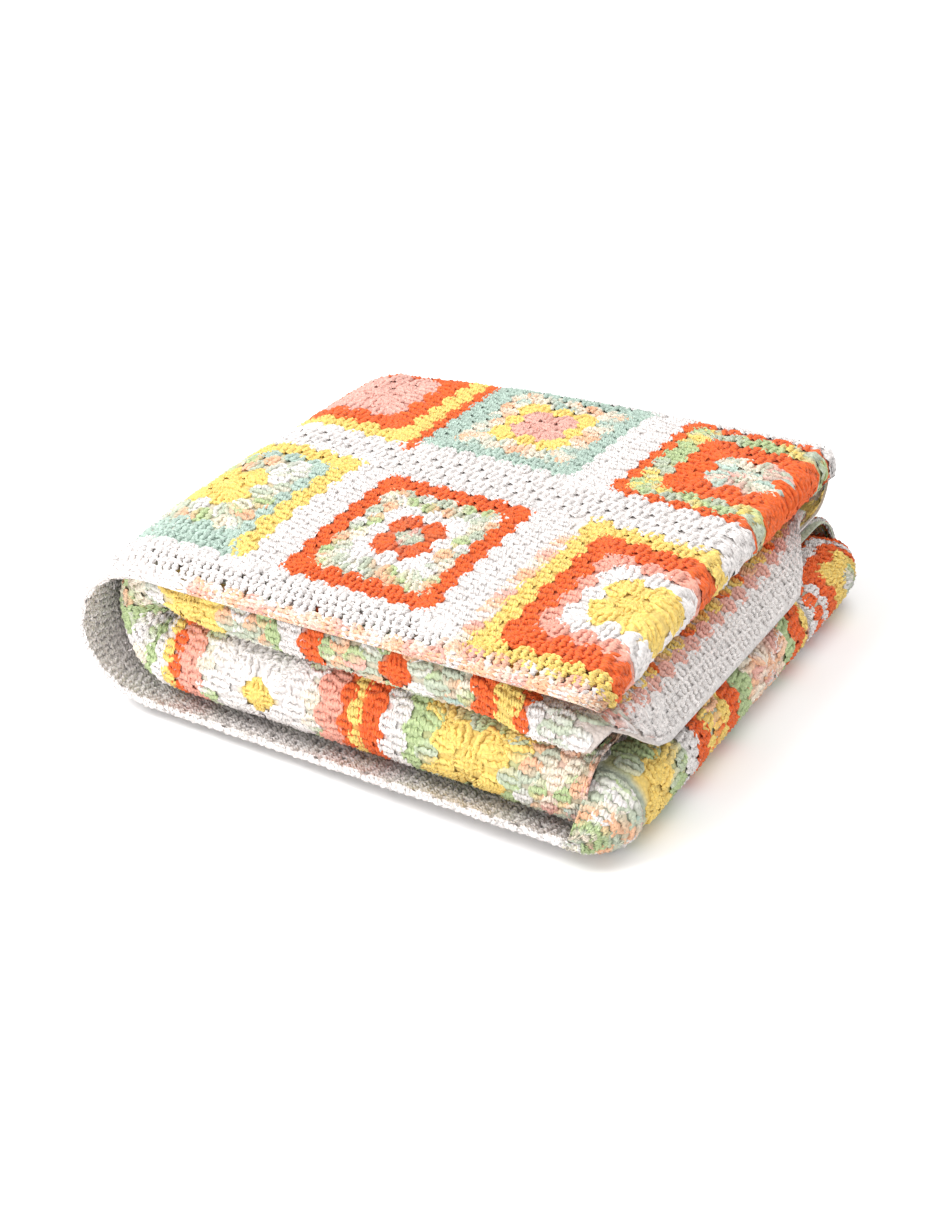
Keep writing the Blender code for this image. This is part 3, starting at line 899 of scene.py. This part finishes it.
GROUP_DETAIL = {
    "top": FINE,
    "round_end": FINE,
    "border": FINE,
    "front_folds": FINE,
    "low_end": FINE,
    "back": PLAIN,
    "underside": PLAIN,
}
MOST_TRIANGLES = 190000  # in one piece
GENERATOR_SEED = 12


def yarn_palette():
    """The yarns' colours as arrays, by name."""
    yarns = bpy.context.scene.blanket_yarns
    return {name: np.array(getattr(yarns, name)) for name in BlanketYarns.__annotations__}


def all_clusters():
    """Every cluster that shows, by group."""
    generator = np.random.default_rng(GENERATOR_SEED)
    palette = yarn_palette()
    groups = {name: [] for name in GROUP_DETAIL}
    for field_name in FIELDS:
        for cluster in square_clusters(field_name, palette, generator):
            if on_cloth(cluster):
                groups[group_of(cluster)].append(cluster)
    for cluster in strip_clusters(palette, generator):
        if on_cloth(cluster):
            groups[group_of(cluster)].append(cluster)
    return groups


# Meshes and materials


def finish_piece(piece, material):
    """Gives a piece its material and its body."""
    piece.data.materials.append(material)
    bpy.context.scene.collection.objects.link(piece)
    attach(piece, "root")
    return piece


def stitch_mesh(name, clusters, shapes, sizes, generator):
    """One mesh of all the clusters, carried onto the folds."""
    places, colours, corners, yarn_maps = [], [], [], []
    first = 0
    for patch_name in PATCHES:
        own = [cluster for cluster in clusters if cluster.patch == patch_name]
        for number, shape in enumerate(shapes):
            chosen = own[number :: len(shapes)]
            if not chosen:
                continue
            total = len(chosen)
            turn = np.array([c.turn for c in chosen]) + generator.normal(0, 0.05, total)
            width = np.array([c.width for c in chosen]) * generator.uniform(0.96, 1.04, total)
            height = np.array([c.height for c in chosen]) * generator.uniform(0.97, 1.05, total)
            s = np.array([c.s for c in chosen]) + generator.uniform(-1, 1, total) * sizes.uneven
            v = np.array([c.v for c in chosen]) + generator.uniform(-1, 1, total) * sizes.uneven
            lift = generator.uniform(-0.0003, 0.0003, total)
            across, ahead, rise = shape.places.T
            a = across[None, :] * width[:, None]
            b = ahead[None, :] * height[:, None]
            flat_s = s[:, None] + np.sin(turn)[:, None] * a + np.cos(turn)[:, None] * b
            flat_v = v[:, None] - np.cos(turn)[:, None] * a + np.sin(turn)[:, None] * b
            lifted = rise[None, :] + lift[:, None]
            places.append(PATCHES[patch_name].carry(flat_s.ravel(), flat_v.ravel(), lifted.ravel()))
            runs = np.array([c.colours for c in chosen])
            share = shape.along[None, :, None]
            colour = runs[:, shape.post] * (1 - share) + runs[:, shape.post + 1] * share
            colours.append(colour.reshape(-1, 3))
            shift = (np.arange(total) * len(shape.places))[:, None, None] + first
            order = slice(None, None, PATCHES[patch_name].facing)
            corners.append((shape.corners[None, :, order] + shift).reshape(-1, 3))
            yarn_maps.append(np.tile(shape.yarn_map[:, order].reshape(-1, 2), (total, 1)))
            first += total * len(shape.places)
    places, colours = np.concatenate(places), np.concatenate(colours)
    corners, yarn_maps = np.concatenate(corners), np.concatenate(yarn_maps)
    places[:, 2] = np.maximum(places[:, 2], 0.0002)
    mesh = bpy.data.meshes.new(name)
    mesh.vertices.add(len(places))
    mesh.vertices.foreach_set("co", places.astype(np.float32).ravel())
    mesh.loops.add(corners.size)
    mesh.loops.foreach_set("vertex_index", corners.astype(np.int32).ravel())
    mesh.polygons.add(len(corners))
    mesh.polygons.foreach_set("loop_start", np.arange(0, corners.size, 3, dtype=np.int32))
    mesh.update(calc_edges=True)
    mesh.polygons.foreach_set("use_smooth", np.ones(len(corners), dtype=bool))
    layer = mesh.uv_layers.new(name="yarn")
    layer.data.foreach_set("uv", yarn_maps.astype(np.float32).ravel())
    paint_points(mesh, colours)
    return mesh


def paint_points(mesh, colours):
    """Stores a colour for each point."""
    attribute = mesh.color_attributes.new("yarn_colour", "FLOAT_COLOR", "POINT")
    values = np.ones((len(colours), 4), np.float32)
    values[:, :3] = colours
    attribute.data.foreach_set("color", values.ravel())


def cotton_material(name, plies):
    """Soft cotton yarn in the colours stored on the mesh, with painted light and shade on its knobs, and its
    plies and fibres as bump.
    """
    material = bpy.data.materials.new(name)
    material.use_nodes = True
    tree = material.node_tree
    nodes, links = tree.nodes, tree.links
    shader = nodes["Principled BSDF"]
    shader.inputs["Roughness"].default_value = 0.88
    shader.inputs["Specular IOR Level"].default_value = 0.25
    shader.inputs["Sheen Weight"].default_value = 0.10
    shader.inputs["Sheen Roughness"].default_value = 0.6
    stored = nodes.new("ShaderNodeAttribute")
    stored.attribute_name = "yarn_colour"
    place = nodes.new("ShaderNodeTexCoord")
    knobs = nodes.new("ShaderNodeTexVoronoi")
    knobs.feature = "F1"
    knobs.inputs["Scale"].default_value = 1 / KNOB_SIZE
    links.new(place.outputs["Object"], knobs.inputs["Vector"])
    # Painted light and shade: the colour is lighter on the knobs' middles and darker in the crevices between
    # them.
    shade = nodes.new("ShaderNodeMapRange")
    shade.inputs["From Min"].default_value = 0.25
    shade.inputs["From Max"].default_value = 0.75
    shade.inputs["To Min"].default_value = 1.06
    shade.inputs["To Max"].default_value = 0.86
    links.new(knobs.outputs["Distance"], shade.inputs["Value"])
    colour_with_painted_shade = nodes.new("ShaderNodeVectorMath")
    colour_with_painted_shade.operation = "SCALE"
    links.new(stored.outputs["Color"], colour_with_painted_shade.inputs[0])
    links.new(shade.outputs["Result"], colour_with_painted_shade.inputs["Scale"])
    links.new(colour_with_painted_shade.outputs["Vector"], shader.inputs["Base Color"])
    fibres = nodes.new("ShaderNodeTexNoise")
    fibres.inputs["Scale"].default_value = 1500.0
    fibres.inputs["Detail"].default_value = 3.0
    links.new(place.outputs["Object"], fibres.inputs["Vector"])
    fuzz = nodes.new("ShaderNodeBump")
    fuzz.inputs["Strength"].default_value = 0.5
    fuzz.inputs["Distance"].default_value = 0.0006
    links.new(fibres.outputs["Fac"], fuzz.inputs["Height"])
    grain = nodes.new("ShaderNodeBump")
    grain.invert = True
    grain.inputs["Strength"].default_value = 0.8
    grain.inputs["Distance"].default_value = 0.0011
    links.new(knobs.outputs["Distance"], grain.inputs["Height"])
    links.new(fuzz.outputs["Normal"], grain.inputs["Normal"])
    last = grain
    if plies:
        yarn_map = nodes.new("ShaderNodeUVMap")
        yarn_map.uv_map = "yarn"
        strands = nodes.new("ShaderNodeTexWave")
        strands.bands_direction = "DIAGONAL"
        strands.inputs["Scale"].default_value = 0.2 * math.pi * plies
        links.new(yarn_map.outputs["UV"], strands.inputs["Vector"])
        twist = nodes.new("ShaderNodeBump")
        twist.inputs["Strength"].default_value = 0.7
        twist.inputs["Distance"].default_value = 0.0006
        links.new(strands.outputs["Fac"], twist.inputs["Height"])
        links.new(grain.outputs["Normal"], twist.inputs["Normal"])
        last = twist
    links.new(last.outputs["Normal"], shader.inputs["Normal"])
    return material


def ground_colours(palette):
    """The colour of the thin sheet at each point of the fine grid: its pattern's own, darkened as painted
    shade for the gaps between the stitches.
    """
    colours = np.empty(FOLDED.shape)
    colours[:] = palette["sage"]
    tables = {name: list(squares_of(name)) for name in FIELDS}
    for patch_name in ("outer", "folds"):
        patch = PATCHES[patch_name]
        for i in range(patch.v.shape[0]):
            for j in range(len(patch.s)):
                s, v = patch.s[j], patch.v[i, j]
                colour = palette["white"] if s > LOW_END_S else palette["sage"]
                for field_name, field in FIELDS.items():
                    inside = field.s_from <= s <= field.s_to and field.v_from <= v <= field.v_to
                    if field.patch != patch_name or not inside:
                        continue
                    for (middle_s, middle_v), (wide_s, wide_v), sides in tables[field_name]:
                        off_s, off_v = (s - middle_s) / wide_s, (v - middle_v) / wide_v
                        off = max(abs(off_s), abs(off_v))
                        if off < ROUND_ENDS[-1]:
                            number = int(np.searchsorted(ROUND_ENDS, off, side="right")) - 1
                            if abs(off_s) > abs(off_v):
                                side = "right" if off_s > 0 else "left"
                            else:
                                side = "back" if off_v > 0 else "front"
                            names = YARNS[sides[side][number]]
                            colour = sum(palette[name] for name in names) / len(names)
                colours[patch.first + i, j] = colour
    # The darkening is painted shade, so that the gaps between the stitches look shadowed.
    return colours * GAP_PAINTED_SHADE


class BLANKET_OT_cloth(bpy.types.Operator):
    """The thin folded sheet behind the stitches"""

    bl_idname = "blanket.cloth"
    bl_label = "Cloth"

    def execute(self, context):
        sizes = context.scene.blanket_sizes
        rows, columns = len(STRETCHES), len(COLUMNS)
        bm = bmesh.new()
        bmesh.ops.create_grid(bm, x_segments=columns - 1, y_segments=rows - 1, size=0.5)
        # The sheet's colours carry painted shade: its pattern darkened, so that the gaps between the stitches
        # look shadowed.
        colours = ground_colours(yarn_palette())
        paint = bm.verts.layers.float_color.new("yarn_colour")
        open_rows = row_index("outer", 0.0) + 1
        open_columns = columns - CURL_STEPS - FLAP_STEPS - CLOSED_STEPS
        front = []
        for face in bm.faces:
            middle = face.calc_center_median()
            row, column = int((middle.y + 0.5) * (rows - 1)), (middle.x + 0.5) * (columns - 1)
            if row < open_rows and column < open_columns:
                front.append(face)
        for vert in bm.verts:
            i, j = round((vert.co.y + 0.5) * (rows - 1)), round((vert.co.x + 0.5) * (columns - 1))
            vert.co = FOLDED[i, j]
            vert[paint] = (*colours[i, j], 1.0)
        bmesh.ops.delete(bm, geom=front, context="FACES")
        mesh = bpy.data.meshes.new("cloth")
        bm.to_mesh(mesh)
        bm.free()
        mesh.polygons.foreach_set("use_smooth", np.ones(len(mesh.polygons), dtype=bool))
        cloth = finish_piece(bpy.data.objects.new("cloth", mesh), cotton_material("cotton_ground", 0))
        thicken = cloth.modifiers.new("thickness", "SOLIDIFY")
        thicken.thickness = sizes.cloth_thick
        thicken.offset = 0.0
        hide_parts("blanket")
        return {"FINISHED"}


class BLANKET_OT_stitches(bpy.types.Operator):
    """The clusters of tall stitches, in squares and rows"""

    bl_idname = "blanket.stitches"
    bl_label = "Stitches"

    def execute(self, context):
        sizes = context.scene.blanket_sizes
        generator = np.random.default_rng(GENERATOR_SEED)
        cotton = cotton_material("cotton_yarn", 2)
        shapes = {}
        for detail in (FINE, PLAIN):
            shapes[detail] = [ClusterShape(sizes, detail, generator) for i in range(VARIANTS)]
        for name, clusters in all_clusters().items():
            detail = GROUP_DETAIL[name]
            most = MOST_TRIANGLES // len(shapes[detail][0].corners)
            parts = math.ceil(len(clusters) / most)
            for i in range(parts):
                piece_name = f"{name}_stitches" if parts == 1 else f"{name}_stitches_{i + 1}"
                share = clusters[i * len(clusters) // parts : (i + 1) * len(clusters) // parts]
                mesh = stitch_mesh(piece_name, share, shapes[detail], sizes, generator)
                finish_piece(bpy.data.objects.new(piece_name, mesh), cotton)
        return {"FINISHED"}


class BLANKET_OT_stage(bpy.types.Operator):
    """The pale floor, the soft light and the camera"""

    bl_idname = "blanket.stage"
    bl_label = "Stage"

    def execute(self, context):
        scene = context.scene
        mesh = bpy.data.meshes.new("floor")
        bm = bmesh.new()
        bmesh.ops.create_grid(bm, x_segments=1, y_segments=1, size=6.0)
        bm.to_mesh(mesh)
        bm.free()
        floor = bpy.data.objects.new("floor", mesh)
        scene.collection.objects.link(floor)
        paper = bpy.data.materials.new("pale_floor")
        paper.use_nodes = True
        paper.node_tree.nodes["Principled BSDF"].inputs["Base Color"].default_value = (0.93, 0.93, 0.93, 1.0)
        paper.node_tree.nodes["Principled BSDF"].inputs["Roughness"].default_value = 0.9
        paper.node_tree.nodes["Principled BSDF"].inputs["Specular IOR Level"].default_value = 0.1
        mesh.materials.append(paper)
        world = bpy.data.worlds.new("soft_room")
        world.use_nodes = True
        world.node_tree.nodes["Background"].inputs["Color"].default_value = (1.0, 1.0, 1.0, 1.0)
        world.node_tree.nodes["Background"].inputs["Strength"].default_value = WORLD_STRENGTH
        scene.world = world
        for light in LIGHTS:
            lamp = bpy.data.lights.new(light.name, "AREA")
            lamp.shape = "DISK"
            lamp.size = light.size
            lamp.energy = light.power
            holder = bpy.data.objects.new(light.name, lamp)
            scene.collection.objects.link(holder)
            holder.location = light.place
            aim = Vector(LIGHT_AIM) - Vector(light.place)
            holder.rotation_euler = aim.to_track_quat("-Z", "Y").to_euler()
        camera_data = bpy.data.cameras.new("camera")
        camera_data.sensor_width = SENSOR
        camera_data.lens = FOCAL_PIXELS / FRAME_HEIGHT * SENSOR
        camera = bpy.data.objects.new("camera", camera_data)
        scene.collection.objects.link(camera)
        camera.location = CAMERA_PLACE
        camera.rotation_euler = (math.pi / 2 - CAMERA_PITCH, 0.0, CAMERA_YAW)
        scene.camera = camera
        scene.view_settings.view_transform = "Standard"
        return {"FINISHED"}


Light = namedtuple("Light", "name place size power")
LIGHTS = (
    Light("key_light", (-1.1, -0.91, 1.7), 1.2, 32.0),
    Light("top_light", (0.3, 0.6, 2.0), 1.6, 16.0),
    Light("front_light", (-0.35, -1.6, 0.24), 0.9, 9.0),
)
LIGHT_AIM = (0.0, 0.0, 0.05)
WORLD_STRENGTH = 0.85
CAMERA_PLACE = (0.5739, -1.0175, 0.702)
CAMERA_PITCH = math.radians(30.05)
CAMERA_YAW = math.radians(29.98)
FOCAL_PIXELS, FRAME_HEIGHT, SENSOR = 2200.0, 1215.0, 36.0


class BLANKET_PT_panel(bpy.types.Panel):
    """The blanket's colours, sizes and steps"""

    bl_label = "Crochet blanket"
    bl_idname = "BLANKET_PT_panel"
    bl_space_type = "VIEW_3D"
    bl_region_type = "UI"
    bl_category = "Blanket"

    def draw(self, context):
        for operator in OPERATORS:
            self.layout.operator(operator.bl_idname)
        for name in BlanketSizes.__annotations__:
            self.layout.prop(context.scene.blanket_sizes, name)
        for name in BlanketYarns.__annotations__:
            self.layout.prop(context.scene.blanket_yarns, name)


OPERATORS = (BLANKET_OT_cloth, BLANKET_OT_stitches, BLANKET_OT_stage)
CLASSES = (BlanketYarns, BlanketSizes, *OPERATORS, BLANKET_PT_panel)


def register():
    for cls in CLASSES:
        bpy.utils.register_class(cls)
    bpy.types.Scene.blanket_yarns = bpy.props.PointerProperty(type=BlanketYarns)
    bpy.types.Scene.blanket_sizes = bpy.props.PointerProperty(type=BlanketSizes)


def unregister():
    del bpy.types.Scene.blanket_yarns
    del bpy.types.Scene.blanket_sizes
    for cls in reversed(CLASSES):
        bpy.utils.unregister_class(cls)


def main():
    register()
    bpy.ops.blanket.cloth()
    bpy.ops.blanket.stitches()
    bpy.ops.blanket.stage()


if __name__ == "__main__":
    main()
